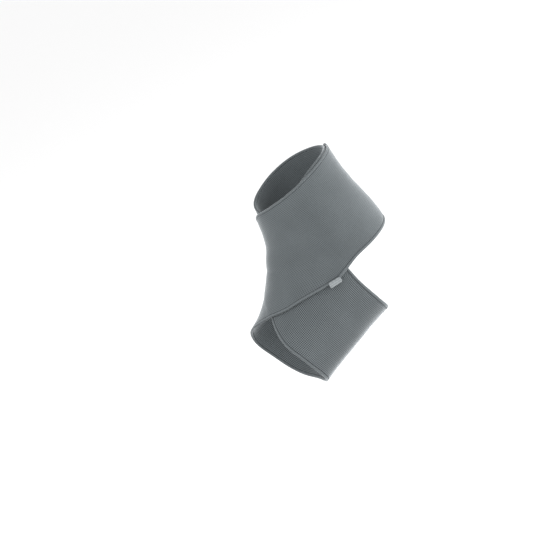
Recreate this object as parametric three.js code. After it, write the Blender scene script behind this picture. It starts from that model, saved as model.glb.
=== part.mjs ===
// Figure-eight ankle wrap: one long elastic strip, open at the heel and the toes.
// It runs round the back of the ankle, crosses over the instep and passes under the arch.
// Frame: millimetres, +Z up along the shin, -X to the toes, +X to the heel, -Y to the outer
// side of a left foot. The origin is the middle of the ankle joint.
import * as THREE from 'three';

// Sizes of the form that the strip lies on
const ANKLE_FRONT = 29;     // from the joint forward to the front of the shin
const SHANK_RISE = 90;      // from the joint up to the form's top section
const FOOT_REACH = 50;      // from the front of the shin forward to the form's last section
const ARCH_DROP = 37;       // from the joint down to the top of that last section
const ANKLE_DEPTH = 74;     // front to back, just above the ankle bones
const FOOT_WIDTH = 78;      // side to side, at the last section
const FRONT_FULLNESS = 0.03; // how much fuller than an ellipse the front half of a section is

// Sizes of the strip
const BAND_WIDTH = 72;      // from edge to edge, both edge hems included
const BAND_WALL = 1.6;      // thickness of the double knit
const HEM_WIDTH = 2.0;      // width of the turned hem along each edge
const HEM_WALL = 1.8;       // thickness of a hem, with its fold
const END_HEM_LENGTH = 6;   // length of the folded hem that closes the outer end
const END_HEM_WALL = 2.0;
const OUTER_END_ROW = 13.5; // where the outer end stops, in rows from the sole: just past the tendon
const INNER_END_ROW = 17;   // where the inner end stops, under the outer layer
const EXTRA_DIP = -0.32;    // sections that the outer half's lower edge reaches further to the toes
const EXTRA_DIP_ANGLE = 12; // where that reach is greatest, in degrees from the front
const EXTRA_DIP_SPREAD = 34; // and how far to each side it fades out

// Sizes of the blank tab on the lower hem
const TAB_LENGTH = 10.2;    // along the hem
const TAB_HEIGHT = 4.4;     // across the hem
const TAB_OVERHANG = 2.8;   // how far it hangs past the strip's edge
const TAB_WALL = 1.0;
const TAB_CORNER = 1.2;     // radius of its corners
const TAB_ROW = 8.15;       // where it sits, in rows from the sole on the outer half

// Clearances
const SEAM_GAP = 0.3;       // between the band and its hems
const LAYER_GAP = 0.6;      // between two layers where the strip lies on itself

// Fineness of the mesh
const ROW_STEPS = 3;        // grid steps for each row of the strip
const CROSS_STEPS = 8;      // grid steps across the strip
const TAB_CORNER_STEPS = 3;

// Sections of the form, from the shin to the arch.
// tilt: degrees that the section's front is turned up; reach: share of FOOT_REACH;
// height: share of SHANK_RISE above the joint, or of ARCH_DROP below it; depth: share of
// ANKLE_DEPTH; width: share of FOOT_WIDTH; fullness: of the back half; crest: degrees that the
// instep's ridge is turned to the outer side.
const SECTION_COLUMNS = ['tilt', 'reach', 'height', 'depth', 'width', 'fullness', 'crest'];
const SECTIONS = [
  [0, 0.00, 1.00, 0.89, 0.74, -0.03, 0],    // shin
  [0, 0.01, 0.67, 0.91, 0.76, -0.03, 0],    // top of the ankle
  [4, 0.03, 0.40, 1.00, 0.81, -0.03, 0],    // above the ankle bones
  [16, 0.09, 0.19, 1.22, 0.87, -0.03, 4],   // ankle bones
  [33, 0.255, 0.01, 1.46, 0.90, 0.00, 8],   // heel and bend of the instep
  [50, 0.43, -0.35, 1.11, 0.90, 0.10, 12],  // instep
  [64, 0.66, -0.71, 0.88, 0.94, 0.16, 16],  // rear of the arch
  [75, 1.00, -1.00, 0.80, 1.00, 0.16, 16],  // front of the arch
];

// Rows of the inner half of the strip, from the middle of the sole to the inner end.
// Each row is a line across the strip: angle and section of the edge nearer the ankle's top,
// then of the edge nearer the toes. Angles run from 0 at the front over 90 on the outer side.
const ROW_COLUMNS = ['upperAngle', 'upperSection', 'lowerAngle', 'lowerSection'];
const ROWS = [
  [180, 4.61, 180, 6.52],   // middle of the sole
  [151, 4.59, 154, 6.56],
  [118, 4.49, 112, 6.62],
  [91, 4.25, 75, 6.70],     // side of the arch
  [74, 3.88, 35, 6.69],     // heel-side corner
  [60, 3.30, 4, 6.26],      // toe-side crossing
  [44, 2.62, -19, 5.50],
  [25, 2.08, -42, 4.72],    // middle of the instep
  [3, 1.73, -59, 4.18],     // top crossing
  [-29, 1.51, -73, 3.80],
  [-62, 1.31, -89, 3.48],   // side of the ankle
  [-92, 1.12, -113, 3.23],
  [-123, 0.99, -139, 3.07],
  [-156, 0.94, -169, 2.97], // behind the tendon
  [-195, 0.93, -203, 2.96],
  [-229, 0.94, -233, 3.02],
  [-262, 1.05, -262, 3.20],
  [-285, 1.25, -285, 3.45], // inner end
];

const FULL_TURN = 360;
const LIFT_START_ROW = 1;   // the outer half starts to lift over the inner half here
const LIFT_END_ROW = 4;     // and lies fully over it from here
const radians = THREE.MathUtils.degToRad;

// Distance between the middles of two layers, so that hem clears hem
const LAYER_STEP = HEM_WALL + LAYER_GAP;

// A smooth curve through the rows of a table (Catmull-Rom), read at any place between them.
function readTable(rows, columns, place) {
  const last = rows.length - 1;
  const index = Math.min(Math.max(Math.floor(place), 0), last - 1);
  const t = place - index;
  const before = (c) => (index > 0 ? rows[index - 1][c] : 2 * rows[0][c] - rows[1][c]);
  const after = (c) => (index + 2 <= last
    ? rows[index + 2][c]
    : 2 * rows[last][c] - rows[last - 1][c]);
  const values = {};
  columns.forEach((name, c) => {
    const p0 = before(c);
    const p1 = rows[index][c];
    const p2 = rows[index + 1][c];
    const p3 = after(c);
    values[name] = 0.5 * (2 * p1 + (p2 - p0) * t
      + (2 * p0 - 5 * p1 + 4 * p2 - p3) * t * t
      + (3 * p1 - p0 - 3 * p2 + p3) * t * t * t);
  });
  return values;
}

// A point of the form: an ellipse in the section's tilted plane, made a little fuller.
function formPoint(section, angle) {
  const s = readTable(SECTIONS, SECTION_COLUMNS, section);
  const crest = s.crest * (1 + Math.cos(radians(angle))) / 2;
  const turn = radians(angle + crest);
  const front = (1 + Math.cos(turn)) / 2;
  const fullness = s.fullness + (FRONT_FULLNESS - s.fullness) * front;
  const forward = Math.cos(turn) * (1 + fullness * Math.sin(turn) ** 2);
  const outward = Math.sin(turn) * (1 + fullness * Math.cos(turn) ** 2);
  const tilt = radians(s.tilt);
  const halfDepth = s.depth * ANKLE_DEPTH / 2;
  const back = halfDepth * (1 - forward);
  const frontX = -ANKLE_FRONT - s.reach * FOOT_REACH;
  const frontZ = s.height * (s.height > 0 ? SHANK_RISE : ARCH_DROP);
  return new THREE.Vector3(
    frontX + back * Math.cos(tilt),
    -outward * s.width * FOOT_WIDTH / 2,
    frontZ - back * Math.sin(tilt),
  );
}

// The form's outward direction at a point, from two small steps along it.
function formNormal(section, angle) {
  const sectionStep = 0.02;
  const angleStep = 0.5;
  const along = formPoint(section + sectionStep, angle)
    .sub(formPoint(section - sectionStep, angle));
  const around = formPoint(section, angle + angleStep)
    .sub(formPoint(section, angle - angleStep));
  return along.cross(around).normalize();
}

// All rows of the strip in one list: the outer half mirrors the inner half.
const outerHalf = ROWS.slice(1).reverse().map(([upperAngle, upperSection, lowerAngle, lower]) => {
  const offset = (lowerAngle - EXTRA_DIP_ANGLE) / EXTRA_DIP_SPREAD;
  const dip = EXTRA_DIP * Math.max(0, 1 - offset * offset);
  return [FULL_TURN - upperAngle, upperSection, FULL_TURN - lowerAngle, lower + dip];
});
const STRIP_ROWS = [...outerHalf, ...ROWS];
const SOLE_ROW = outerHalf.length;
const OUTER_END = SOLE_ROW - OUTER_END_ROW;
const INNER_END = SOLE_ROW + INNER_END_ROW;

// How far the strip is lifted off the form: the outer half lies over the inner half.
function lift(place) {
  const rows = SOLE_ROW - place;
  return LAYER_STEP * THREE.MathUtils.smoothstep(rows, LIFT_START_ROW, LIFT_END_ROW);
}

// The line across the strip at a place, from its upper edge (0) to its lower edge (1).
function guidePoint(place, across) {
  const row = readTable(STRIP_ROWS, ROW_COLUMNS, place);
  const angle = row.upperAngle + (row.lowerAngle - row.upperAngle) * across;
  const section = row.upperSection + (row.lowerSection - row.upperSection) * across;
  return { angle, section };
}

function guideWidth(place) {
  let width = 0;
  let previous = null;
  for (let i = 0; i <= CROSS_STEPS; i += 1) {
    const { angle, section } = guidePoint(place, i / CROSS_STEPS);
    const point = formPoint(section, angle);
    width += previous ? point.distanceTo(previous) : 0;
    previous = point;
  }
  return width;
}

// The rows are drawn for a strip of their own mean width; the real strip is spread to BAND_WIDTH.
const placesOfRows = STRIP_ROWS.map((_, i) => i).filter((i) => i >= OUTER_END);
const drawnWidth = placesOfRows.reduce((sum, i) => sum + guideWidth(i), 0) / placesOfRows.length;
const spread = BAND_WIDTH / drawnWidth;

// A frame across the strip at one place: its real width there, and a function that gives the
// point at a distance from the upper edge and a height over the middle of the cloth.
function stripFrame(place) {
  const width = guideWidth(place) * spread;
  const raised = lift(place);
  const at = (distance, height) => {
    const across = 0.5 + (distance / width - 0.5) * spread;
    const { angle, section } = guidePoint(place, across);
    return formPoint(section, angle)
      .addScaledVector(formNormal(section, angle), raised + height);
  };
  return { width, at };
}

// Even places along the strip between two ends.
function placesBetween(start, end) {
  const steps = Math.max(1, Math.round((end - start) * ROW_STEPS));
  return Array.from({ length: steps + 1 }, (_, i) => start + (end - start) * i / steps);
}

// A closed solid from rings of equal length, one after another, capped at both ends.
function ringSolid(rings) {
  const count = rings[0].length;
  const positions = rings.flat().flatMap((p) => [p.x, p.y, p.z]);
  const faces = [];
  for (let i = 0; i + 1 < rings.length; i += 1) {
    for (let j = 0; j < count; j += 1) {
      const a = i * count + j;
      const b = i * count + (j + 1) % count;
      faces.push(a, b, b + count, a, b + count, a + count);
    }
  }
  return { positions, faces, count };
}

function geometryOf(positions, faces) {
  const geometry = new THREE.BufferGeometry();
  geometry.setAttribute('position', new THREE.Float32BufferAttribute(positions, 3));
  geometry.setIndex(faces);
  geometry.computeVertexNormals();
  return geometry;
}

// A wall of the strip, inset from both its edges: each ring goes along the outer face and back
// along the inner face.
function wallGeometry(places, wall, inset) {
  const rings = places.map((place) => {
    const frame = stripFrame(place);
    const clear = frame.width - 2 * inset;
    const distances = Array.from({ length: CROSS_STEPS + 1 }, (_, j) => (
      inset + clear * j / CROSS_STEPS));
    const outer = distances.map((d) => frame.at(d, wall / 2));
    const inner = distances.map((d) => frame.at(d, -wall / 2));
    return [...outer, ...inner.reverse()];
  });
  const { positions, faces, count } = ringSolid(rings);
  const lastRing = (rings.length - 1) * count;
  for (let j = 0; j < CROSS_STEPS; j += 1) {
    const opposite = count - 1 - j;
    faces.push(j, opposite, j + 1, j + 1, opposite, opposite - 1);
    faces.push(lastRing + j, lastRing + j + 1, lastRing + opposite);
    faces.push(lastRing + j + 1, lastRing + opposite - 1, lastRing + opposite);
  }
  return geometryOf(positions, faces);
}

// A hem: a flat rounded profile of half-width and half-height, carried along one edge.
const HEM_PROFILE = [
  [-1.0, 0.0], [-0.8, 0.75], [-0.3, 1.0], [0.3, 1.0],
  [0.8, 0.75], [1.0, 0.0], [0.8, -0.75], [0.0, -1.0], [-0.8, -0.75],
];
function hemGeometry(places, onLowerEdge) {
  const rings = places.map((place) => {
    const frame = stripFrame(place);
    const middle = onLowerEdge ? frame.width - HEM_WIDTH / 2 : HEM_WIDTH / 2;
    return HEM_PROFILE.map(([side, height]) => (
      frame.at(middle + side * HEM_WIDTH / 2, height * HEM_WALL / 2)));
  });
  const { positions, faces, count } = ringSolid(rings);
  const lastRing = (rings.length - 1) * count;
  for (let j = 1; j + 1 < count; j += 1) {
    faces.push(0, j + 1, j);
    faces.push(lastRing, lastRing + j, lastRing + j + 1);
  }
  return geometryOf(positions, faces);
}

// The tab: a rounded rectangle laid over the lower hem, bent with the strip.
function tabGeometry() {
  const place = SOLE_ROW - TAB_ROW;
  const edgeAt = (where) => {
    const frame = stripFrame(where);
    return frame.at(frame.width, 0);
  };
  const probe = 0.05;
  const rowLength = edgeAt(place + probe).distanceTo(edgeAt(place - probe)) / (2 * probe);
  const outline = [];
  const corners = [[1, 1, 0], [-1, 1, 90], [-1, -1, 180], [1, -1, 270]];
  corners.forEach(([alongSide, acrossSide, startAngle]) => {
    for (let i = 0; i <= TAB_CORNER_STEPS; i += 1) {
      const turn = radians(startAngle + 90 * i / TAB_CORNER_STEPS);
      const along = alongSide * (TAB_LENGTH / 2 - TAB_CORNER) + TAB_CORNER * Math.cos(turn);
      const across = acrossSide * (TAB_HEIGHT / 2 - TAB_CORNER) + TAB_CORNER * Math.sin(turn);
      outline.push([along, across]);
    }
  });
  const base = HEM_WALL / 2 + SEAM_GAP;
  const pointAt = ([along, across], height) => {
    const frame = stripFrame(place + along / rowLength);
    const middle = frame.width + TAB_OVERHANG - TAB_HEIGHT / 2;
    return frame.at(middle + across, height);
  };
  const layers = [base, base + TAB_WALL];
  const rings = layers.map((height) => outline.map((spot) => pointAt(spot, height)));
  const { positions, faces, count } = ringSolid(rings);
  layers.forEach((height, layer) => {
    const centre = positions.length / 3;
    const middle = pointAt([0, 0], height);
    positions.push(middle.x, middle.y, middle.z);
    for (let j = 0; j < count; j += 1) {
      const a = layer * count + j;
      const b = layer * count + (j + 1) % count;
      faces.push(...(layer === 0 ? [centre, b, a] : [centre, a, b]));
    }
  });
  return geometryOf(positions, faces);
}

// Turns a solid's faces outward where its rings ran the other way.
function facingOut(geometry) {
  const p = geometry.getAttribute('position');
  const index = geometry.getIndex();
  const corner = [new THREE.Vector3(), new THREE.Vector3(), new THREE.Vector3()];
  let volume = 0;
  for (let i = 0; i < index.count; i += 3) {
    corner.forEach((c, k) => c.fromBufferAttribute(p, index.getX(i + k)));
    volume += corner[0].dot(corner[1].clone().cross(corner[2]));
  }
  if (volume < 0) {
    for (let i = 0; i < index.count; i += 3) {
      const first = index.getX(i);
      index.setX(i, index.getX(i + 1));
      index.setX(i + 1, first);
    }
    geometry.computeVertexNormals();
  }
  return geometry;
}

const knitGrey = new THREE.MeshStandardMaterial({
  name: 'knit_grey', color: 0x6b7174, roughness: 0.9, metalness: 0,
});
const hemGrey = new THREE.MeshStandardMaterial({
  name: 'hem_grey', color: 0x70777a, roughness: 0.88, metalness: 0,
});
const tabGrey = new THREE.MeshStandardMaterial({
  name: 'tab_grey', color: 0xa9b0b4, roughness: 0.6, metalness: 0,
});

const wrap = new THREE.Group();
wrap.name = 'ankle_wrap';

function addPiece(name, geometry, material) {
  const mesh = new THREE.Mesh(facingOut(geometry), material);
  mesh.name = name;
  wrap.add(mesh);
}

// Length of one row at the outer end, to turn the end hem's length into rows
const endRowLength = (() => {
  const middleAt = (place) => stripFrame(place).at(stripFrame(place).width / 2, 0);
  return middleAt(OUTER_END).distanceTo(middleAt(OUTER_END + 1));
})();
const endHemStop = OUTER_END + END_HEM_LENGTH / endRowLength;
const bandStart = endHemStop + SEAM_GAP / endRowLength;
const bandPlaces = placesBetween(bandStart, INNER_END);

addPiece('elastic_band', wallGeometry(bandPlaces, BAND_WALL, HEM_WIDTH + SEAM_GAP), knitGrey);
addPiece('upper_edge_hem', hemGeometry(bandPlaces, false), hemGrey);
addPiece('lower_edge_hem', hemGeometry(bandPlaces, true), hemGrey);
addPiece('outer_end_hem',
  wallGeometry(placesBetween(OUTER_END, endHemStop), END_HEM_WALL, 0), hemGrey);
addPiece('blank_tab', tabGeometry(), tabGrey);

export default wrap;
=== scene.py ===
# %% [markdown]
# # A figure-eight elastic ankle wrap
#
# The object is one long strip of grey elastic knit. It starts behind the tendon, runs round the
# outer side of the ankle, crosses the instep, passes under the arch, comes up again under itself
# and goes once round the ankle. This lesson builds the strip as one surface of two parameters,
# along and across the cloth, and hangs every other piece on that surface: the turned hems, the
# rows of stitches, the folded end and the small blank tab.
#
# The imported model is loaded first. Its solids stay where they are. Five of the new pieces take
# the place of one solid each, and the two pieces of stitching are added to them.

# %% Load the frame
import math

import bpy
import numpy as np
from mathutils import Matrix, Vector


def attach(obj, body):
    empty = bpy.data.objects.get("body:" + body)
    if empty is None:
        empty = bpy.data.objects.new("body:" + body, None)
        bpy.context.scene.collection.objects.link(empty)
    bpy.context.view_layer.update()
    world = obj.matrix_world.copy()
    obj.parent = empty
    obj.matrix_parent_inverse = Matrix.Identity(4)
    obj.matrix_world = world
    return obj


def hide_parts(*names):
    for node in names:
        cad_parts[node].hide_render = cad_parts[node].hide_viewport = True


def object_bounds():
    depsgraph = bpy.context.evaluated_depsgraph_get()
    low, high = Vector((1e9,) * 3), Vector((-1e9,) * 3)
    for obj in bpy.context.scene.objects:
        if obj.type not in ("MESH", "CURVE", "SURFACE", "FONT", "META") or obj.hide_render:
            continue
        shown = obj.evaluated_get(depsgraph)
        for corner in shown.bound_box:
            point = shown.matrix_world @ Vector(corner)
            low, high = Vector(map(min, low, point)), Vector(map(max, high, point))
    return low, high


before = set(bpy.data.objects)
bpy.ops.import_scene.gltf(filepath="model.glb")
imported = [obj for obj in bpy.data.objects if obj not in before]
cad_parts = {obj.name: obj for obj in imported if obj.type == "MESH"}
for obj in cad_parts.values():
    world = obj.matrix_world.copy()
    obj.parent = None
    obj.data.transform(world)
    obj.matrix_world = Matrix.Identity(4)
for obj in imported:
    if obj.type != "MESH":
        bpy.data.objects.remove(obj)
cad_low, cad_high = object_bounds()
MM = 0.001
print("solids:", sorted(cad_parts))
print("solid model's box in mm:", [round(s / MM, 1) for s in cad_high - cad_low])

# %% [markdown]
# ## The camera
#
# The wrap is seen from the outer side of the foot and a little from the toes' side, while the
# shin leans forward. The wrap stands upright in its own frame, so the lean goes into the camera:
# its three axes are worked out for an upright shin and then turned back by the lean. The photo's
# scale at the ankle joint gives the focal length, and the joint's pixel gives the sideways shift
# of the camera's place.

# %% Camera
LOOK_AZIMUTH = math.radians(-25)    # 0 looks straight at the outer side
LOOK_DOWN = math.radians(5)
SHIN_LEAN = math.radians(29.4)
CAMERA_DISTANCE = 1.3
PIXEL = 0.76 * MM                   # size of one pixel at the ankle joint
PHOTO_PIXELS = 540
JOINT_PIXEL = (318, 243)            # where the ankle joint lies in the picture
SENSOR_WIDTH = 36                   # millimetres, as a camera's sensor is given
CLIP_END = 100                      # metres, past the floor's far corners


def camera_axes(azimuth, down, lean):
    """Right, up and backward axes of the camera. They are those of a camera that looks along an
    azimuth and down by an angle, turned about the sideways axis by the shin's lean."""
    right = np.array([math.cos(azimuth), math.sin(azimuth), 0])
    up = np.array([-math.sin(down) * math.sin(azimuth), math.sin(down) * math.cos(azimuth),
                   math.cos(down)])
    back = np.cross(right, up)
    turn = np.array([[math.cos(lean), 0, math.sin(lean)],
                     [0, 1, 0],
                     [-math.sin(lean), 0, math.cos(lean)]])
    return turn @ right, turn @ up, turn @ back


camera_right, camera_up, camera_back = camera_axes(LOOK_AZIMUTH, LOOK_DOWN, SHIN_LEAN)
middle_pixel = PHOTO_PIXELS / 2
eye = (camera_back * CAMERA_DISTANCE
       - camera_right * (JOINT_PIXEL[0] - middle_pixel) * PIXEL
       + camera_up * (JOINT_PIXEL[1] - middle_pixel) * PIXEL)
camera_data = bpy.data.cameras.new("photo_camera")
camera_data.sensor_width = SENSOR_WIDTH
camera_data.lens = SENSOR_WIDTH * CAMERA_DISTANCE / (PIXEL * PHOTO_PIXELS)
camera_data.clip_end = CLIP_END
camera = bpy.data.objects.new("photo_camera", camera_data)
camera.matrix_world = Matrix([
    [camera_right[i], camera_up[i], camera_back[i], eye[i]] for i in range(3)] + [[0, 0, 0, 1]])
bpy.context.scene.collection.objects.link(camera)
bpy.context.scene.camera = camera
print("camera at", [round(float(x), 3) for x in eye], "lens", round(camera_data.lens, 1), "mm")

# %% [markdown]
# ## The studio
#
# The photo is a bright product shot: white all round, with soft light from everywhere and a
# little more from behind on the heel's side. A white world does most of it. A large soft lamp
# behind the heel makes the back of the wrap lighter, and a second one over the toes gives the
# instep its edge. The floor is a wide pale plane under the wrap, which is held up by its wearer.

# %% Floor, world and lamps
FLOOR_BELOW = 50 * MM               # from the wrap's lowest point down to the floor
FLOOR_HALF = 30                     # metres, half the floor's side
FLOOR_COLOUR = (0.95, 0.95, 0.95, 1)
FLOOR_ROUGHNESS = 0.9
WORLD_COLOUR = (1, 1, 1, 1)
WORLD_STRENGTH = 1.0
LAMPS = [                           # name, place and side in metres, power in watts
    ("lamp_behind_heel", (1.1, -0.35, 0.25), 0.7, 13),
    ("lamp_over_toes", (-1.0, -0.5, 0.7), 0.9, 7),
]

floor_z = cad_low[2] - FLOOR_BELOW
floor_mesh = bpy.data.meshes.new("floor")
floor_mesh.from_pydata(
    [(-FLOOR_HALF, -FLOOR_HALF, floor_z), (FLOOR_HALF, -FLOOR_HALF, floor_z),
     (FLOOR_HALF, FLOOR_HALF, floor_z), (-FLOOR_HALF, FLOOR_HALF, floor_z)], [], [(0, 1, 2, 3)])
floor = bpy.data.objects.new("floor", floor_mesh)
bpy.context.scene.collection.objects.link(floor)
floor_paint = bpy.data.materials.new("floor_paint")
floor_paint.use_nodes = True
floor_shader = floor_paint.node_tree.nodes["Principled BSDF"]
floor_shader.inputs["Base Color"].default_value = FLOOR_COLOUR
floor_shader.inputs["Roughness"].default_value = FLOOR_ROUGHNESS
floor_mesh.materials.append(floor_paint)

world = bpy.data.worlds.new("white_studio")
world.use_nodes = True
background = world.node_tree.nodes["Background"]
background.inputs["Color"].default_value = WORLD_COLOUR
background.inputs["Strength"].default_value = WORLD_STRENGTH
bpy.context.scene.world = world
bpy.context.scene.view_settings.view_transform = "Standard"


def soft_lamp(name, place, size, power):
    """A square area lamp at a place, turned to face the ankle joint."""
    data = bpy.data.lights.new(name, "AREA")
    data.shape = "SQUARE"
    data.size = size
    data.energy = power
    lamp = bpy.data.objects.new(name, data)
    lamp.location = place
    lamp.rotation_euler = (-Vector(place)).to_track_quat("-Z", "Y").to_euler()
    bpy.context.scene.collection.objects.link(lamp)


for lamp_values in LAMPS:
    soft_lamp(*lamp_values)
print("floor at", round(float(floor_z / MM), 1), "mm")

# %% [markdown]
# ## The form under the cloth
#
# A wrap has no shape of its own: it takes the form of what fills it. So the first thing to make
# is that form, as a function of two numbers. A section number runs from the shin to the arch,
# and an angle runs round, from 0 at the front over 90 on the outer side. Each section is an
# ellipse in a tilted plane. The table gives a few of them, and a smooth curve through its rows
# gives all the others. The same table shapes the solids of the imported model.

# %% The form
ANKLE_FRONT = 29 * MM               # from the joint forward to the front of the shin
SHANK_RISE = 90 * MM                # from the joint up to the top section
FOOT_REACH = 50 * MM                # from the front of the shin to the last section
ARCH_DROP = 37 * MM                 # from the joint down to the last section
ANKLE_DEPTH = 74 * MM
FOOT_WIDTH = 78 * MM
FRONT_FULLNESS = 0.03

# tilt in degrees, reach, height, depth and width as shares of the sizes above, fullness of the
# back half, and crest: degrees that the instep's ridge is turned to the outer side
SECTIONS = np.array([
    [0, 0.00, 1.00, 0.89, 0.74, -0.03, 0],    # shin
    [0, 0.01, 0.67, 0.91, 0.76, -0.03, 0],    # top of the ankle
    [4, 0.03, 0.40, 1.00, 0.81, -0.03, 0],    # above the ankle bones
    [16, 0.09, 0.19, 1.22, 0.87, -0.03, 4],   # ankle bones
    [33, 0.255, 0.01, 1.46, 0.90, 0.00, 8],   # heel and bend of the instep
    [50, 0.43, -0.35, 1.11, 0.90, 0.10, 12],  # instep
    [64, 0.66, -0.71, 0.88, 0.94, 0.16, 16],  # rear of the arch
    [75, 1.00, -1.00, 0.80, 1.00, 0.16, 16],  # front of the arch
])


def table_at(rows, place):
    """Reads a table between its rows, on a Catmull-Rom curve: each value follows a cubic that
    passes through the two rows around the place with the slopes of their neighbours."""
    padded = np.vstack([2 * rows[0] - rows[1], rows, 2 * rows[-1] - rows[-2]])
    index = np.clip(np.floor(place).astype(int), 0, len(rows) - 2)
    t = (place - index)[..., None]
    p0, p1, p2, p3 = (padded[index + k] for k in range(4))
    return 0.5 * (2 * p1 + (p2 - p0) * t + (2 * p0 - 5 * p1 + 4 * p2 - p3) * t ** 2
                  + (3 * p1 - p0 - 3 * p2 + p3) * t ** 3)


def form_point(section, angle):
    """A point of the form: an ellipse in the section's tilted plane. Its radius grows a little
    between the axes, by its fullness times the sine or cosine squared."""
    tilt, reach, height, depth, width, fullness, crest = np.moveaxis(
        table_at(SECTIONS, section), -1, 0)
    turn = np.radians(angle + crest * (1 + np.cos(np.radians(angle))) / 2)
    fullness = fullness + (FRONT_FULLNESS - fullness) * (1 + np.cos(turn)) / 2
    forward = np.cos(turn) * (1 + fullness * np.sin(turn) ** 2)
    outward = np.sin(turn) * (1 + fullness * np.cos(turn) ** 2)
    back = depth * ANKLE_DEPTH / 2 * (1 - forward)
    front_z = height * np.where(height > 0, SHANK_RISE, ARCH_DROP)
    return np.stack([
        -ANKLE_FRONT - reach * FOOT_REACH + back * np.cos(np.radians(tilt)),
        -outward * width * FOOT_WIDTH / 2,
        front_z - back * np.sin(np.radians(tilt))], -1)


def unit(vectors):
    """Vectors divided by their own length."""
    return vectors / np.linalg.norm(vectors, axis=-1, keepdims=True)


def form_normal(section, angle):
    """The form's outward direction: the cross product of a small step along it and one round."""
    section_step = 0.02
    angle_step = 0.5
    along = form_point(section + section_step, angle) - form_point(section - section_step, angle)
    around = form_point(section, angle + angle_step) - form_point(section, angle - angle_step)
    return unit(np.cross(along, around))


print("ankle above the bones:", (form_point(np.array([2.0, 2.0]), np.array([180.0, 0.0])) / MM
                                ).round(1).tolist())

# %% [markdown]
# ## The path of the strip
#
# The strip's path is a second table. Each row is a line across the cloth, given by the angle and
# section of its upper and lower edge. Only half of the strip is written down, from the middle of
# the sole to the hidden inner end, because the other half is its mirror image: it goes round the
# other side of the foot and lies on top. The rows are spaced so that both edges come out equally
# long, as on a strip that was knitted straight.

# %% The strip as a surface
BAND_WIDTH = 72 * MM
OUTER_END_ROW = 13.5                # where the outer end stops, in rows from the sole
INNER_END_ROW = 17
EXTRA_DIP = -0.32                   # sections that the outer half's lower edge reaches further
EXTRA_DIP_ANGLE = 12                # to the toes than the inner half's: most at this angle,
EXTRA_DIP_SPREAD = 34               # and not at all this many degrees away from it

# angle and section of the upper edge, then of the lower edge
HALF_ROWS = np.array([
    [180, 4.61, 180, 6.52],         # middle of the sole
    [151, 4.59, 154, 6.56],
    [118, 4.49, 112, 6.62],
    [91, 4.25, 75, 6.70],           # side of the arch
    [74, 3.88, 35, 6.69],           # heel-side corner
    [60, 3.30, 4, 6.26],            # toe-side crossing
    [44, 2.62, -19, 5.50],
    [25, 2.08, -42, 4.72],          # middle of the instep
    [3, 1.73, -59, 4.18],           # top crossing
    [-29, 1.51, -73, 3.80],
    [-62, 1.31, -89, 3.48],         # side of the ankle
    [-92, 1.12, -113, 3.23],
    [-123, 0.99, -139, 3.07],
    [-156, 0.94, -169, 2.97],       # behind the tendon
    [-195, 0.93, -203, 2.96],
    [-229, 0.94, -233, 3.02],
    [-262, 1.05, -262, 3.20],
    [-285, 1.25, -285, 3.45],       # inner end
])


def mirrored(rows):
    """The same rows on the other side of the foot. Each angle is taken from a full turn, and the
    lower edge is moved along the foot by a parabola round one angle."""
    upper_angle, upper_section, lower_angle, lower_section = rows[1:][::-1].T
    offset = (lower_angle - EXTRA_DIP_ANGLE) / EXTRA_DIP_SPREAD
    dip = EXTRA_DIP * np.maximum(0, 1 - offset ** 2)
    return np.stack([360 - upper_angle, upper_section, 360 - lower_angle, lower_section + dip], 1)


STRIP_ROWS = np.vstack([mirrored(HALF_ROWS), HALF_ROWS])
SOLE_ROW = len(HALF_ROWS) - 1
OUTER_END = SOLE_ROW - OUTER_END_ROW
INNER_END = SOLE_ROW + INNER_END_ROW
FINE_COUNT = 1500                   # places in the fine tables of widths and lengths
ACROSS_COUNT = 9                    # points on a line across the strip when it is measured


def guide(place, across):
    """Section and angle at a place along the strip and a share across it, on the straight line
    between that place's two edge points."""
    upper_angle, upper_section, lower_angle, lower_section = np.moveaxis(
        table_at(STRIP_ROWS, place), -1, 0)
    return (upper_section + (lower_section - upper_section) * across,
            upper_angle + (lower_angle - upper_angle) * across)


def guide_width(place):
    """Length of the line across the strip at each place, from a few points on it."""
    places, shares = np.meshgrid(place, np.linspace(0, 1, ACROSS_COUNT), indexing="ij")
    points = form_point(*guide(places, shares))
    return np.linalg.norm(np.diff(points, axis=1), axis=-1).sum(1)


# one factor stretches all lines across, so that their mean is the strip's width
rows_used = np.arange(len(STRIP_ROWS), dtype=float)
spread = BAND_WIDTH / guide_width(rows_used[rows_used >= OUTER_END]).mean()
FINE_PLACES = np.linspace(0, INNER_END, FINE_COUNT)
FINE_WIDTHS = guide_width(FINE_PLACES) * spread


def strip_width(place):
    """Width of the strip at a place along it, read from a fine table."""
    return np.interp(place, FINE_PLACES, FINE_WIDTHS)


print("strip width from", round(FINE_WIDTHS.min() / MM, 1), "to",
      round(FINE_WIDTHS.max() / MM, 1), "mm")

# %% [markdown]
# ## Cloth over cloth
#
# Round the ankle the strip lies on itself. The outer half is lifted by one layer, and where
# nothing is under it, it settles a little towards the skin. So the edges and the end of the layer
# below print through as soft steps. Whether a point has a layer under it follows from the inner
# half's two edge lines: each is read as a section for an angle, and the point's own section is
# compared with them.

# %% Lift of the outer half
HEM_WALL = 1.8 * MM
LAYER_GAP = 0.6 * MM
LIFT_ROWS = (1, 4)                  # the outer half lifts between these rows from the sole
SETTLE = 0.5 * MM                   # how far the outer half sinks where nothing is under it
FADE_SECTIONS = 0.45                # width of the soft step over an edge, about 13 mm
FADE_ANGLE = 15                     # and over the inner end, in degrees
LAYER_STEP = HEM_WALL + LAYER_GAP

inner_upper_angle, inner_upper_section, inner_lower_angle, inner_lower_section = table_at(
    HALF_ROWS, np.linspace(0, INNER_END_ROW, FINE_COUNT)).T[:, ::-1]


def smooth(value):
    """Runs from 0 to 1 as the value does, with a soft start and stop."""
    t = np.clip(value, 0, 1)
    return t * t * (3 - 2 * t)


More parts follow.
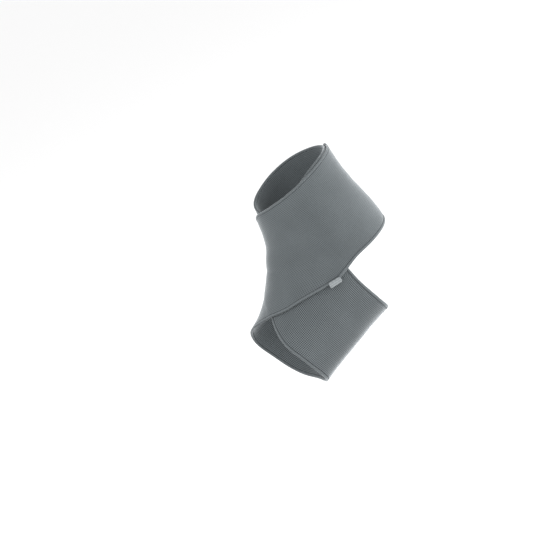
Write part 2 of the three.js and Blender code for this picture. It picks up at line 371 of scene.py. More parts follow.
def layer_below(section, angle):
    """Share from 0 to 1 that says whether the inner half lies under a point. The angle is that
    of the outer half, so the inner half's own angle is one or two full turns less."""
    covered = np.zeros_like(section)
    for turns in (1, 2):
        inner_angle = angle - 360 * turns
        upper = np.interp(inner_angle, inner_upper_angle, inner_upper_section)
        lower = np.interp(inner_angle, inner_lower_angle, inner_lower_section)
        inside = (smooth(1 + (section - upper) / FADE_SECTIONS)
                  * smooth(1 + (lower - section) / FADE_SECTIONS)
                  * smooth(1 + (inner_angle - inner_upper_angle[0]) / FADE_ANGLE)
                  * (inner_angle <= inner_upper_angle[-1]))
        covered = np.maximum(covered, inside)
    return covered


def strip_point(place, distance, height):
    """A point of the strip: the place along it, the distance from its upper edge, and the height
    over the middle of the cloth, measured along the form's outward direction."""
    width = strip_width(place)
    section, angle = guide(place, 0.5 + (distance / width - 0.5) * spread)
    start, stop = LIFT_ROWS
    lifted = smooth((SOLE_ROW - place - start) / (stop - start))
    lift = lifted * (LAYER_STEP - SETTLE * (1 - layer_below(section, angle)))
    return form_point(section, angle) + form_normal(section, angle) * (lift + height)[..., None]


def lengths_along(points):
    """Length of a line of points from its start to each of them."""
    steps = np.linalg.norm(np.diff(points, axis=0), axis=1)
    return np.concatenate([[0], np.cumsum(steps)])


strip_places = np.linspace(OUTER_END, INNER_END, FINE_COUNT)
nothing = np.zeros_like(strip_places)
middle_lengths = lengths_along(strip_point(strip_places, strip_width(strip_places) / 2, nothing))
STRIP_LENGTH = middle_lengths[-1]


def place_at(length):
    """The place at a length along the strip's middle line from the outer end."""
    return np.interp(length, middle_lengths, strip_places)


print("strip length", round(STRIP_LENGTH / MM), "mm")

# %% [markdown]
# ## From rings to a mesh
#
# Every piece here is a closed body made of rings: the outline of the cloth's thickness, carried
# along it. A ring is written as an outer line and then an inner line back, of equal counts, so
# opposite points can be joined to close both ends. Numpy builds the corner numbers of all faces
# at once. If the signed volume comes out negative, the faces are turned to point outwards.

# %% Mesh from rings
def smooth_mesh(name, points, faces, uv):
    """A mesh from arrays of points and four-cornered faces, with a UV map called cloth, in
    metres along and across, and smooth shading. The signed volume is the sum of the tetrahedra
    between the origin and the two triangles of each face."""
    corner = points[faces]
    volume = sum(
        np.einsum("ij,ij->i", corner[:, 0], np.cross(corner[:, k], corner[:, k + 1])).sum()
        for k in (1, 2)) / 6
    if volume < 0:
        faces = faces[:, ::-1]
        uv = uv[:, ::-1]
    mesh = bpy.data.meshes.new(name)
    mesh.from_pydata(points.tolist(), [], faces.tolist())
    layer = mesh.uv_layers.new(name="cloth")
    layer.data.foreach_set("uv", uv.astype(np.float32).ravel())
    mesh.polygons.foreach_set("use_smooth", np.ones(len(mesh.polygons), bool))
    mesh.update()
    piece = bpy.data.objects.new(name, mesh)
    bpy.context.scene.collection.objects.link(piece)
    print(f"{name}: {len(points)} points, {len(faces)} faces, "
          f"{abs(volume) / (10 * MM) ** 3:.2f} cm3")
    return piece


def ring_faces(count, size):
    """Corner numbers (row, column) of the faces between rings, and of the two end caps, which
    join each point to the one opposite it."""
    row, column = np.meshgrid(np.arange(count - 1), np.arange(size), indexing="ij")
    sides_row = np.stack([row, row, row + 1, row + 1], -1).reshape(-1, 4)
    sides_column = np.stack([column, column + 1, column + 1, column], -1).reshape(-1, 4)
    first = np.arange(size // 2 - 1)
    cap = np.stack([first, size - 1 - first, size - 2 - first, first + 1], -1)
    rows = np.vstack([sides_row, np.zeros_like(cap), np.full_like(cap, count - 1)])
    columns = np.vstack([sides_column, cap, cap[:, ::-1]])
    return rows, columns


def piece_from_rings(name, rings, uv):
    """A closed piece from rings (count, size, 3) and their UV (count, size + 1, 2), where the
    last column repeats the first point at the end of the ring."""
    count, size, _ = rings.shape
    rows, columns = ring_faces(count, size)
    return smooth_mesh(name, rings.reshape(-1, 3), rows * size + columns % size,
                       uv[rows, columns])


# %% [markdown]
# ## The elastic band
#
# The band is a double knit 1.6 mm thick. Its mesh is a wall: an outer face and an inner face on
# the strip's surface. Towards each hem the cloth is pressed thin by the seam and slips into the
# hem's fold, which leaves the shallow groove that a sewn edge has. Tension lines run along it,
# far too low to see as folds, but enough to break up the light.

# %% Elastic band
BAND_WALL = 1.6 * MM
HEM_WIDTH = 2.0 * MM
SEAM_GAP = 0.3 * MM
END_HEM_LENGTH = 6 * MM
END_HEM_GAP = 0.1 * MM              # from the folded end to the start of the edge hems
PRESSED_WALL = 0.80 * MM            # the band's thickness inside the fold of a hem
PRESS_FADE = 0.9 * MM               # the groove's width beside the hem
BAND_STEP = 1.1 * MM                # mesh step along the strip
BAND_COLUMNS = 40                   # and columns across its flat part
TENSION_HEIGHT = 0.05 * MM
TENSION_PITCH = 13 * MM             # across the strip, from one broad line to the next
TENSION_DRIFT = 110 * MM            # along it, from one sideways swing of the lines to the next
TENSION_SWING = 1.3                 # how far they swing, in radians of their wave
THIN_PITCH = 0.43                   # pitch of the thin lines between them, their swing and
THIN_SWING = 1.7                    # their height, as shares of the broad lines'
THIN_HEIGHT = 0.5
THIN_SHIFT = 1                      # radians

# distances from a hem's lip, from inside its fold to the full thickness, close together where
# the thickness changes
EDGE_STATIONS = np.array([-0.8, -0.5, -0.2, 0.0, 0.15, 0.35, 0.6, 0.9, 1.3, 2.0]) * MM


def pressed(distance):
    """Share of the band's full thickness at a distance from a hem's lip: least in the fold, and
    full again past the groove."""
    least = PRESSED_WALL / BAND_WALL
    return least + (1 - least) * smooth(distance / PRESS_FADE)


def tension(length, across):
    """Height of the faint lines that run along stretched cloth: sines across it that wander
    slowly along it."""
    wander = TENSION_SWING * np.sin(2 * np.pi * length / TENSION_DRIFT)
    slow = np.sin(2 * np.pi * across / TENSION_PITCH + wander)
    fast = np.sin(2 * np.pi * across / (THIN_PITCH * TENSION_PITCH)
                  - THIN_SWING * wander + THIN_SHIFT)
    return TENSION_HEIGHT * (slow + THIN_HEIGHT * fast)


def band_rings():
    """Rings of the band's wall and their UV. Across, the stations are close together beside both
    hems and even between them."""
    fine = END_HEM_LENGTH + EDGE_STATIONS
    count = int((STRIP_LENGTH - fine[-1]) / BAND_STEP)
    lengths = np.concatenate([fine, np.linspace(fine[-1], STRIP_LENGTH, count)[1:]])
    place = place_at(lengths)
    width = strip_width(place)
    edge = HEM_WIDTH + EDGE_STATIONS
    share = np.linspace(0, 1, BAND_COLUMNS)[1:-1]
    middle = edge[-1] + (width[:, None] - 2 * edge[-1]) * share
    left = np.broadcast_to(edge, (len(lengths), len(edge)))
    distance = np.hstack([left, middle, width[:, None] - left[:, ::-1]])
    places = np.broadcast_to(place[:, None], distance.shape)
    along = np.broadcast_to(lengths[:, None], distance.shape)
    from_lip = np.minimum(distance, width[:, None] - distance) - HEM_WIDTH
    half = BAND_WALL / 2 * pressed(from_lip) * pressed(along - END_HEM_LENGTH)
    skin = strip_point(places, distance, np.zeros_like(distance))
    across = np.cumsum(np.linalg.norm(np.diff(skin, axis=1, prepend=skin[:, :1]), axis=-1), 1)
    across = across * (BAND_WIDTH - 2 * edge[0]) / across[:, -1:] + edge[0]
    wave = tension(along, across) * smooth(from_lip / (2 * PRESS_FADE))
    outer = strip_point(places, distance, wave + half)
    inner = strip_point(places, distance, wave - half)
    cloth = np.stack([along, across], -1)
    rings = np.hstack([outer, inner[:, ::-1]])
    uv = np.hstack([cloth, cloth[:, ::-1], cloth[:, :1]])
    return rings, uv


elastic_band = piece_from_rings("elastic_band_cloth", *band_rings())

# %% [markdown]
# ## The turned hems
#
# Along both edges the knit is folded over the band's edge and stitched down. The outline of that
# fold is a flat bead with a slot: a round nose at the strip's edge, two lips that point inwards,
# and the slot between them that holds the band. The stitches pull the bead in a little each time,
# so its thickness has a small wave in step with them.

# %% Turned hems
STITCH_PITCH = 2.9 * MM
PUCKER = 0.05                       # share of the hem's thickness that a stitch pulls in
STITCH_LINE = 1.1 * MM              # from the strip's edge in to the row of stitches
HEM_STEP = 0.72 * MM                # mesh step along a hem
NOSE = 0.65 * MM                    # length of the round nose
LIP = 0.3 * MM                      # and of the rounded lips
SLOT_HALF = 0.44 * MM               # half the slot's height
SLOT_BOTTOM = 0.65 * MM             # from the strip's edge to the slot's closed end
LIP_POINTS = 5                      # mesh points round each lip
NOSE_POINTS = 11                    # and round the nose


def arc(centre_x, centre_y, radius_x, radius_y, start, stop, count):
    """Points on an arc of an ellipse between two angles in degrees."""
    turn = np.radians(np.linspace(start, stop, count))
    return np.stack([centre_x + radius_x * np.cos(turn), centre_y + radius_y * np.sin(turn)], 1)


def fold_outline(length, wall):
    """Outline of a fold as two lines of equal counts, each as distance from the strip's edge and
    height: the outer line from the upper lip round the nose to the lower lip, and the slot."""
    half = wall / 2
    lip_rise = half - SLOT_HALF
    outer = np.vstack([
        arc(length - LIP, SLOT_HALF, LIP, lip_rise, 0, 90, LIP_POINTS),
        arc(NOSE, 0, NOSE, half, 90, 270, NOSE_POINTS),
        arc(length - LIP, -SLOT_HALF, LIP, lip_rise, 270, 360, LIP_POINTS)])
    slot_end = SLOT_BOTTOM + SLOT_HALF
    top_x = np.linspace(length, slot_end, LIP_POINTS + 1)[:-1]
    top = np.stack([top_x, np.full(LIP_POINTS, SLOT_HALF)], 1)
    nose = arc(slot_end, 0, SLOT_HALF, SLOT_HALF, 90, 270, NOSE_POINTS)
    return outer, np.vstack([top, nose, top[::-1] * [1, -1]])


def edge_line(on_lower_edge, inset):
    """Lengths along the strip's edge, at an inset from it, for the fine list of places."""
    width = strip_width(strip_places)
    distance = width - inset if on_lower_edge else np.full_like(width, inset)
    return lengths_along(strip_point(strip_places, distance, nothing))


def fold_piece(name, rings, stations, outline):
    """A closed piece from a fold's rings. Its UV is the length to each ring, and the length round
    the outline."""
    round_outline = lengths_along(np.vstack([outline, outline[:1]]))
    uv = np.stack(np.meshgrid(stations, round_outline, indexing="ij"), -1)
    return piece_from_rings(name, rings, uv)


def hem_piece(name, on_lower_edge):
    """A turned hem along one edge, from the folded end to the inner end."""
    edge_lengths = edge_line(on_lower_edge, STITCH_LINE)
    start = np.interp(END_HEM_LENGTH + END_HEM_GAP, middle_lengths, edge_lengths)
    count = int((edge_lengths[-1] - start) / HEM_STEP)
    lengths = np.linspace(start, edge_lengths[-1], count)
    place = np.interp(lengths, edge_lengths, strip_places)
    outer, slot = fold_outline(HEM_WIDTH, HEM_WALL)
    outline = np.vstack([outer, slot[::-1]])
    pull = 1 - PUCKER * (1 + np.cos(2 * np.pi * lengths / STITCH_PITCH)) / 2
    height = outline[:, 1] * np.where(np.abs(outline[:, 1]) > SLOT_HALF, pull[:, None], 1)
    inset = np.broadcast_to(outline[:, 0], height.shape)
    width = strip_width(place)[:, None]
    distance = width - inset if on_lower_edge else inset
    places = np.broadcast_to(place[:, None], height.shape)
    return fold_piece(name, strip_point(places, distance, height), lengths, outline)


upper_hem = hem_piece("upper_edge_hem_cloth", False)
lower_hem = hem_piece("lower_edge_hem_cloth", True)

# %% [markdown]
# ## The folded outer end
#
# Behind the tendon the strip ends in a wider fold that closes its raw end. Its outline is the
# same fold, 6 mm long, but it is carried across the strip instead of along it. At both sides it
# is rounded off by drawing the outline in over the last half millimetre.

# %% Folded outer end
END_HEM_WALL = 2.0 * MM
END_HEM_ROUNDING = 0.5 * MM
END_HEM_COLUMNS = 60
END_HEM_SIDE = 0.72                 # share of its thickness that is left at both sides
END_HEM_DRAW = 0.07                 # share of that thinning by which its length is drawn in
ROUNDING_POINTS = 5


def end_hem_piece(name):
    """The fold across the strip's outer end."""
    outer, slot = fold_outline(END_HEM_LENGTH, END_HEM_WALL)
    outline = np.vstack([outer, slot[::-1]])
    rounding = END_HEM_ROUNDING * (1 - np.cos(np.radians(np.linspace(0, 90, ROUNDING_POINTS))))
    width = float(strip_width(np.array([OUTER_END]))[0])
    middle = np.linspace(rounding[-1], width - rounding[-1], END_HEM_COLUMNS)[1:-1]
    across = np.concatenate([rounding, middle, width - rounding[::-1]])
    depth = np.minimum(np.minimum(across, width - across), END_HEM_ROUNDING) / END_HEM_ROUNDING
    size = END_HEM_SIDE + (1 - END_HEM_SIDE) * np.sqrt(1 - (1 - depth) ** 2)
    centre = END_HEM_LENGTH / 2
    along = centre + (outline[:, 0] - centre) * (1 - END_HEM_DRAW * (1 - size[:, None]))
    height = outline[:, 1] * size[:, None]
    place = place_at(along)
    distance = across[:, None] / width * strip_width(place)
    return fold_piece(name, strip_point(place, distance, height), across, outline)


end_hem = end_hem_piece("outer_end_hem_cloth")

# %% [markdown]
# ## The blank tab
#
# A small folded piece of light grey tape is caught in the lower hem. It lies over the hem and
# hangs past the strip's edge. Its outline is a rounded rectangle, drawn in ring by ring from the
# side wall to the middle of each face. Two shallow grooves run along it where the tape is folded,
# and its free part droops a little towards the cloth below.

# %% Blank tab
TAB_LENGTH = 10.2 * MM
TAB_HEIGHT = 4.4 * MM
TAB_OVERHANG = 2.8 * MM
TAB_WALL = 1.0 * MM
TAB_CORNER = 1.2 * MM
TAB_ROW = 8.15                      # rows from the sole, on the outer half
TAB_DROOP = 0.45 * MM               # how far the free side comes down
TAB_GROOVE = 0.14 * MM              # depth of the two grooves
TAB_GROOVES = (-0.8 * MM, 0.7 * MM)  # from the tab's middle, across the strip
TAB_GROOVE_WIDTH = 0.28 * MM
TAB_LEAST_RADIUS = 0.25 * MM        # of the outline's corners, where it is drawn in

# the tab's profile from the middle of a face to the side wall: inset in millimetres, and height
# as a share of half the thickness
TAB_FACE = np.array([[2.0, 1], [1.6, 1], [1.2, 1], [0.8, 0.99], [0.45, 0.95], [0.2, 0.8],
                     [0.05, 0.45]])

tab_place = SOLE_ROW - TAB_ROW
lower_lengths = edge_line(True, 0)
tab_length_at = np.interp(tab_place, strip_places, lower_lengths)


def rounded_rectangle(inset, per_corner=7):
    """Outline of the tab drawn in by an inset, from the middle of one end round to it again."""
    radius = max(TAB_CORNER - inset, TAB_LEAST_RADIUS)
    half_long = TAB_LENGTH / 2 - inset - radius
    half_high = TAB_HEIGHT / 2 - inset - radius
    corners = [(half_long, half_high, 0), (-half_long, half_high, 90),
               (-half_long, -half_high, 180), (half_long, -half_high, 270)]
    return np.vstack([arc(x, y, radius, radius, start, start + 90, per_corner)
                      for x, y, start in corners])


def tab_piece(name):
    """The tab: rings from the middle of its under side over the side wall to the middle of its
    face, laid on the strip's surface beside the lower edge."""
    half = TAB_WALL / 2
    profile = np.vstack([TAB_FACE * [1, -1], [[0, 0]], TAB_FACE[::-1]]) * [MM, half]
    outlines = np.stack([rounded_rectangle(inset) for inset, _ in profile])
    along, across = outlines[..., 0], outlines[..., 1]
    height = np.broadcast_to(profile[:, 1:], along.shape)
    groove = sum(np.exp(-((across - line) / TAB_GROOVE_WIDTH) ** 2) for line in TAB_GROOVES)
    past_edge = np.maximum(0, across - (TAB_HEIGHT / 2 - TAB_OVERHANG)) / TAB_OVERHANG
    base = HEM_WALL / 2 + SEAM_GAP + half - TAB_DROOP * past_edge ** 2
    place = np.interp(tab_length_at + along, lower_lengths, strip_places)
    distance = strip_width(place) + TAB_OVERHANG - TAB_HEIGHT / 2 + across
    rings = strip_point(place, distance, base + height - TAB_GROOVE * groove * (height > 0))
    uv = np.stack([along, across], -1)
    return piece_from_rings(name, rings, np.concatenate([uv, uv[:, :1]], 1))


tab = tab_piece("blank_tab_tape")

# %% [markdown]
# ## Stitches
#
# The hems are held by rows of short stitches on both faces of the cloth. One stitch is a thin
# capsule of thread: a circle carried along a short line that dives into the cloth at both ends.
# All stitches of a row are one array, worked out from the stitch's own coordinates: along it,
# across it and up. Over the tab the row climbs onto the tape, because the same row holds it.

# %% Stitching
THREAD_RADIUS = 0.14 * MM
STITCH_LENGTH = 2.1 * MM
STITCH_DIVE = 0.3 * MM              # how deep its ends go into the cloth
STITCH_SHAPE = np.array([-1, -0.86, -0.5, 0, 0.5, 0.86, 1])     # where its rings lie, along it
THREAD_SIDES = 6
THREAD_END = 0.06                   # square of the share of its radius that is left at its ends
END_ROWS = (1.6 * MM, 4.6 * MM)     # rows of stitches across the folded end


def stitch_grid(count):
    """Coordinates of every point of a row of stitches: shares along a stitch, and its offset to
    the side and up from its line."""
    thin = np.sqrt(np.clip(1 - STITCH_SHAPE ** 4, THREAD_END, 1))
    turn = np.radians((np.arange(THREAD_SIDES) + 0.5) * 360 / THREAD_SIDES)
    along = np.broadcast_to(STITCH_SHAPE[:, None], (len(STITCH_SHAPE), THREAD_SIDES))
    side = THREAD_RADIUS * thin[:, None] * np.cos(turn)
    rise = THREAD_RADIUS * thin[:, None] * np.sin(turn) - STITCH_DIVE * along ** 4
    return [np.broadcast_to(part, (count,) + part.shape) for part in (along, side, rise)]


def many_capsules(name, points):
    """One piece from capsules (number, rings, sides, 3): the faces of one capsule, repeated with
    its corner numbers moved on."""
    number, count, size, _ = points.shape
    rows, columns = ring_faces(count, size)
    faces = rows * size + columns % size
    all_faces = (faces + np.arange(number)[:, None, None] * count * size).reshape(-1, 4)
    uv = np.stack([rows, columns], -1) / max(count, size) * STITCH_LENGTH
    return smooth_mesh(name, points.reshape(-1, 3), all_faces, np.tile(uv, (number, 1, 1)))


def edge_row(on_lower_edge, face):
    """A row of stitches along a hem, on the outer face (1) or the inner face (-1)."""
    edge_lengths = edge_line(on_lower_edge, STITCH_LINE)
    first = np.interp(END_HEM_LENGTH + STITCH_PITCH, middle_lengths, edge_lengths)
    last = edge_lengths[-1] - STITCH_PITCH
    middles = np.arange(np.ceil(first / STITCH_PITCH), last // STITCH_PITCH) * STITCH_PITCH
    along, side, rise = stitch_grid(len(middles))
    length = middles[:, None, None] + along * STITCH_LENGTH / 2
    place = np.interp(length, edge_lengths, strip_places)
    inset = STITCH_LINE + side
    distance = strip_width(place) - inset if on_lower_edge else inset
    surface = HEM_WALL / 2 * (1 - PUCKER)
    if on_lower_edge and face > 0:
        from_tab = np.abs(np.interp(place, strip_places, lower_lengths) - tab_length_at)
        on_tab = smooth((TAB_LENGTH / 2 - from_tab) / THREAD_RADIUS)
        surface = surface + on_tab * (HEM_WALL / 2 + SEAM_GAP + TAB_WALL - surface)
    return strip_point(place, distance, face * (surface + rise))


def end_row(length, face):
    """A row of stitches across the folded end, at a length from it."""
    place = place_at(np.array(length))
    width = float(strip_width(place))
    middles = np.arange(1, width // STITCH_PITCH) * STITCH_PITCH
    along, side, rise = stitch_grid(len(middles))
    distance = middles[:, None, None] + along * STITCH_LENGTH / 2
    return strip_point(place_at(length + side), distance, face * (END_HEM_WALL / 2 + rise))


edge_stitches = many_capsules("edge_stitching", np.concatenate(
    [edge_row(on_lower, face) for on_lower in (False, True) for face in (1, -1)]))
end_stitches = many_capsules("end_stitching", np.concatenate(
    [end_row(length, face) for length in END_ROWS for face in (1, -1)]))

# %% [markdown]
# ## Materials
#
# Everything is cloth, so every material is one rough shader with a soft sheen on top, which is
# what gives knitwear its bright outline against white. The knit's pattern is a bird's eye: rows
# of light dots on a darker ground. It is the sum of two sines, one along the cloth and one across
# it, read from the UV map in metres, so it bends and stretches with the strip. Larger noise on
# Object coordinates makes the grey a little uneven, as washed elastic is.

# %% Shader helpers
SHEEN_TINT = (0.93, 0.97, 1.0, 1)
SPECULAR_LEVEL = 0.25
FIBRE_DETAIL = 3


def new_material(name, roughness, sheen, sheen_roughness):
    """A cloth material with its constant values set on the shader itself."""
    material = bpy.data.materials.new(name)
    material.use_nodes = True
    shader = material.node_tree.nodes["Principled BSDF"]
    shader.inputs["Roughness"].default_value = roughness
    shader.inputs["Sheen Weight"].default_value = sheen
    shader.inputs["Sheen Roughness"].default_value = sheen_roughness
    shader.inputs["Sheen Tint"].default_value = SHEEN_TINT
    shader.inputs["Specular IOR Level"].default_value = SPECULAR_LEVEL
    return material, material.node_tree, shader


def feed(tree, socket, value):
    """Links a socket, or sets it where the value is a number or a colour."""
    if isinstance(value, bpy.types.NodeSocket):
        tree.links.new(value, socket)
    else:
        socket.default_value = value


def calculate(tree, operation, first, second=0.0, third=0.0):
    """A math node's result."""
    node = tree.nodes.new("ShaderNodeMath")
    node.operation = operation
    for socket, value in zip(node.inputs, (first, second, third)):
        feed(tree, socket, value)
    return node.outputs[0]


def cloth_axes(tree):
    """The two numbers of the cloth's own map: metres along and metres across."""
    uv = tree.nodes.new("ShaderNodeUVMap")
    uv.uv_map = "cloth"
    split = tree.nodes.new("ShaderNodeSeparateXYZ")
    tree.links.new(uv.outputs["UV"], split.inputs[0])
    return split.outputs["X"], split.outputs["Y"]


def uneven(tree, size, detail=2.0):
    """Soft noise from 0 to 1 with blotches of a size in metres, on Object coordinates."""
    coordinates = tree.nodes.new("ShaderNodeTexCoord")
    noise = tree.nodes.new("ShaderNodeTexNoise")
    noise.inputs["Scale"].default_value = 1 / size
    noise.inputs["Detail"].default_value = detail
    tree.links.new(coordinates.outputs["Object"], noise.inputs["Vector"])
    return noise.outputs["Fac"]


def wave(tree, axis, pitch, shift=0.0):
    """A sine from -1 to 1 along one axis of the cloth."""
    turns = calculate(tree, "MULTIPLY_ADD", axis, 2 * math.pi / pitch, shift)
    return calculate(tree, "SINE", turns)


def blend_colours(tree, share, dark, light):
    """A colour between two, by a share from 0 to 1."""
    mix = tree.nodes.new("ShaderNodeMix")
    mix.data_type = "RGBA"
    feed(tree, mix.inputs["Factor"], share)
    mix.inputs["A"].default_value = dark
    mix.inputs["B"].default_value = light
    return mix.outputs["Result"]


def raise_surface(tree, shader, height, distance, strength):
    """Bump from a height of 0 to 1 that stands for a distance in metres."""
    bump = tree.nodes.new("ShaderNodeBump")
    bump.inputs["Strength"].default_value = strength
    bump.inputs["Distance"].default_value = distance
    feed(tree, bump.inputs["Height"], height)
    tree.links.new(bump.outputs["Normal"], shader.inputs["Normal"])


# %% [markdown]
# ### The knit
#
# The two threads of the knit are a darker and a lighter grey. Under the arch the strip is pulled
# hardest, so its stitches open and the dots stand out on a darker ground; round the ankle they
# lie closer and the grey looks plain. Fibre noise roughens the dots, and slow clouds shift the
# whole grey by a few per cent.

# %% Knit material
KNIT_PITCH = 1.25 * MM              # from a light dot to the next one in the same row
KNIT_DARK = (0.020, 0.024, 0.027, 1)
KNIT_LIGHT = (0.158, 0.178, 0.186, 1)
KNIT_ROUGHNESS = 0.86
KNIT_SHEEN = (1.0, 0.33)            # weight and roughness of the sheen, on the hems too
DOT_CONTRAST = (0.70, 1.70)         # contrast of the dots round the ankle, and under the arch
DOT_LEVEL = (0.52, 0.45)            # their middle grey at the same two places
HOLE_POWER = 0.5                    # below 1, the dark dots are smaller than the light ones
HOLE_MEAN = 0.68                    # mean of the pattern after that power
ARCH_REACH = 130 * MM               # from the middle of the sole to where the ankle's look begins
ARCH_FADE = 50 * MM
LOOP_PITCH = 0.42 * MM              # the yarn's own loops, three to a dot
LOOP_CONTRAST = 0.10
FIBRE_SIZE = 0.5 * MM
FIBRE_CONTRAST = 0.30               # on the hems too
CLOUD_SIZE = 26 * MM
CLOUD_CONTRAST = 0.24
KNIT_RELIEF = (0.14 * MM, 0.6)      # depth and strength of the surface's relief

SOLE_LENGTH = float(np.interp(SOLE_ROW, strip_places, middle_lengths))


def knit_material(name):
    """Grey bird's-eye knit. The colour's share is a middle grey plus the dots, some fibre noise
    and slow clouds, and the first two of these change from the ankle to the arch."""
    material, tree, shader = new_material(name, KNIT_ROUGHNESS, *KNIT_SHEEN)
    along, across = cloth_axes(tree)
    waves = calculate(tree, "ADD", wave(tree, along, KNIT_PITCH), wave(tree, across, KNIT_PITCH))
    # the sum of two sines runs from -2 to 2, and the power needs 0 to 1
    holes = calculate(tree, "POWER", calculate(tree, "MULTIPLY_ADD", waves, 0.25, 0.5), HOLE_POWER)
    dots = calculate(tree, "SUBTRACT", holes, HOLE_MEAN)
    from_sole = calculate(tree, "ABSOLUTE", calculate(tree, "SUBTRACT", along, SOLE_LENGTH))
    at_arch = calculate(tree, "MULTIPLY_ADD", from_sole, -1 / ARCH_FADE, ARCH_REACH / ARCH_FADE)
    at_arch = calculate(tree, "MINIMUM", calculate(tree, "MAXIMUM", at_arch, 0.0), 1.0)
    contrast, level = (
        calculate(tree, "MULTIPLY_ADD", at_arch, arch - ankle, ankle)
        for ankle, arch in (DOT_CONTRAST, DOT_LEVEL))
    loops = calculate(tree, "MULTIPLY", wave(tree, along, LOOP_PITCH),
                      wave(tree, across, LOOP_PITCH))
    yarn = calculate(tree, "MULTIPLY_ADD", loops, LOOP_CONTRAST, -FIBRE_CONTRAST / 2)
    fibre = calculate(tree, "MULTIPLY_ADD", uneven(tree, FIBRE_SIZE, FIBRE_DETAIL),
                      FIBRE_CONTRAST, yarn)
    clouds = calculate(tree, "MULTIPLY_ADD", uneven(tree, CLOUD_SIZE), CLOUD_CONTRAST,
                       -CLOUD_CONTRAST / 2)
    fuzzy = calculate(tree, "ADD", calculate(tree, "MULTIPLY", dots, contrast), fibre)
    share = calculate(tree, "ADD", calculate(tree, "ADD", fuzzy, level), clouds)
    feed(tree, shader.inputs["Base Color"], blend_colours(tree, share, KNIT_DARK, KNIT_LIGHT))
    raise_surface(tree, shader, fuzzy, *KNIT_RELIEF)
    return material


# %% [markdown]
# ### Hem, thread and tape
#
# A turned hem shows the same knit pulled over the fold, so its dots become fine ribs across the
# edge. Each face of the fold also gets a painted highlight along its middle and painted shade at
# its lip and at its nose. The thread is a shade lighter, with a twist. The tab is a smoother woven
# tape, light grey and a little glossy, with fine dark lines along it that are painted shade in its
# grooves.

# %% Hem, thread and tape materials
HEM_DARK = (0.020, 0.024, 0.027, 1)
HEM_LIGHT = (0.145, 0.163, 0.171, 1)
EDGE_PAINTED_LIGHT = 0.26                   # contrast of the painted highlight and shade on an edge hem
END_PAINTED_LIGHT = 0.06                    # and on the wide fold at the outer end
HEM_ROUGHNESS = 0.84
RIB_PITCH = 0.9 * MM
RIB_CONTRAST = 0.16
HEM_FIBRE_SIZE = 0.6 * MM
HEM_RELIEF = (0.16 * MM, 0.7)       # depth and strength, as on the knit
THREAD_DARK = (0.10, 0.11, 0.116, 1)
THREAD_LIGHT = (0.21, 0.23, 0.24, 1)
THREAD_ROUGHNESS = 0.6
THREAD_SHEEN = (0.3, 0.3)
TWIST_PITCH = 0.35 * MM
TWIST_CONTRAST = 0.4
THREAD_RELIEF = (0.05 * MM, 0.6)
TAPE_DARK = (0.125, 0.137, 0.143, 1)
TAPE_LIGHT = (0.335, 0.360, 0.372, 1)
TAPE_ROUGHNESS = 0.46
TAPE_SHEEN = (0.25, 0.3)
# the tape's dark lines are painted shade, set into the tab's two grooves
TAPE_PITCH = 1.5 * MM               # from one dark line along the tape to the next
TAPE_SHIFT = 1.9                    # puts those lines into the tab's grooves
# contrast of that painted shade
TAPE_GROOVE_SHADE = 0.16
PICK_PITCH = 0.4 * MM               # from one crossing thread of the weave to the next
PICK_CONTRAST = 0.1
TAPE_CLOUD_SIZE = 1.2 * MM
TAPE_CLOUD_CONTRAST = 0.5
TAPE_LEVEL = -0.2                   # sets the tape's middle grey
TAPE_RELIEF = (0.06 * MM, 0.6)


def hem_material(name, fold_length, contrast):
    """Grey knit pulled over a fold: fine ribs across the edge, and on each face of the fold a
    painted highlight along its middle, between painted shade at its lip and at its nose."""
    material, tree, shader = new_material(name, HEM_ROUGHNESS, *KNIT_SHEEN)
    along, across = cloth_axes(tree)
    outer, _ = fold_outline(fold_length, HEM_WALL)
    face_length = lengths_along(outer)[-1] / 2
    ribs = calculate(tree, "MULTIPLY_ADD", wave(tree, along, RIB_PITCH), RIB_CONTRAST, 0.5)
    # painted highlight along the middle of each face, painted shade at the lip and at the nose
    painted_light = calculate(tree, "MULTIPLY_ADD", wave(tree, across, face_length, -math.pi / 2),
                      contrast, ribs)
    share = calculate(tree, "MULTIPLY_ADD", uneven(tree, HEM_FIBRE_SIZE, FIBRE_DETAIL),
                      FIBRE_CONTRAST, calculate(tree, "ADD", painted_light, -FIBRE_CONTRAST / 2))
    feed(tree, shader.inputs["Base Color"], blend_colours(tree, share, HEM_DARK, HEM_LIGHT))
    raise_surface(tree, shader, share, *HEM_RELIEF)
    return material


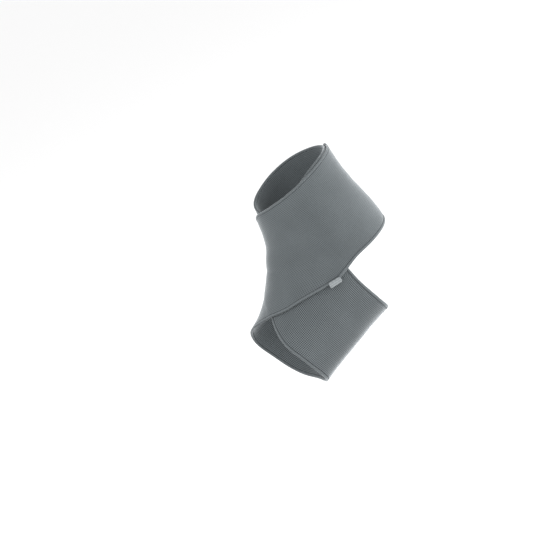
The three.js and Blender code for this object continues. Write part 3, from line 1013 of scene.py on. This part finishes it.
def thread_material(name):
    """Light grey sewing thread with a twist."""
    material, tree, shader = new_material(name, THREAD_ROUGHNESS, *THREAD_SHEEN)
    along, across = cloth_axes(tree)
    turned = calculate(tree, "ADD", along, across)
    twist = calculate(tree, "MULTIPLY_ADD", wave(tree, turned, TWIST_PITCH), TWIST_CONTRAST,
                      0.5)
    feed(tree, shader.inputs["Base Color"], blend_colours(tree, twist, THREAD_DARK, THREAD_LIGHT))
    raise_surface(tree, shader, twist, *THREAD_RELIEF)
    return material


def tape_material(name):
    """Light grey woven tape, a little glossy, with lines of painted shade along its grooves."""
    material, tree, shader = new_material(name, TAPE_ROUGHNESS, *TAPE_SHEEN)
    along, across = cloth_axes(tree)
    # painted shade: dark lines along the tape, shifted into the tab's grooves
    lines = calculate(tree, "MULTIPLY_ADD", wave(tree, across, TAPE_PITCH, TAPE_SHIFT),
                      TAPE_GROOVE_SHADE, 0.5)
    picks = calculate(tree, "MULTIPLY_ADD", wave(tree, along, PICK_PITCH), PICK_CONTRAST, lines)
    share = calculate(tree, "MULTIPLY_ADD", uneven(tree, TAPE_CLOUD_SIZE, FIBRE_DETAIL),
                      TAPE_CLOUD_CONTRAST, calculate(tree, "ADD", picks, TAPE_LEVEL))
    feed(tree, shader.inputs["Base Color"], blend_colours(tree, share, TAPE_DARK, TAPE_LIGHT))
    raise_surface(tree, shader, picks, *TAPE_RELIEF)
    return material


elastic_band.data.materials.append(knit_material("grey_birdseye_knit"))
edge_cloth = hem_material("grey_turned_hem", HEM_WIDTH, EDGE_PAINTED_LIGHT)
for piece in (upper_hem, lower_hem):
    piece.data.materials.append(edge_cloth)
end_hem.data.materials.append(hem_material("grey_folded_end", END_HEM_LENGTH, END_PAINTED_LIGHT))
sewing_thread = thread_material("light_grey_thread")
for piece in (edge_stitches, end_stitches):
    piece.data.materials.append(sewing_thread)
tab.data.materials.append(tape_material("light_grey_tape"))
print("materials:", sorted(m.name for m in bpy.data.materials if m.users))

# %% [markdown]
# ## Fastening the pieces to the frame
#
# Each piece rides on the wrap's one body, and five of them take the place of a plain solid.

# %% Ride and replace
ROLES = [
    (elastic_band, "elastic_band", "knit"),
    (upper_hem, "upper_edge_hem", "hem"),
    (lower_hem, "lower_edge_hem", "hem"),
    (end_hem, "outer_end_hem", "hem"),
    (tab, "blank_tab", "tab"),
    (edge_stitches, None, "hem"),
    (end_stitches, None, "hem"),
]
for piece, node, slot in ROLES:
    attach(piece, "root")
    if node:
        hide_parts(node)
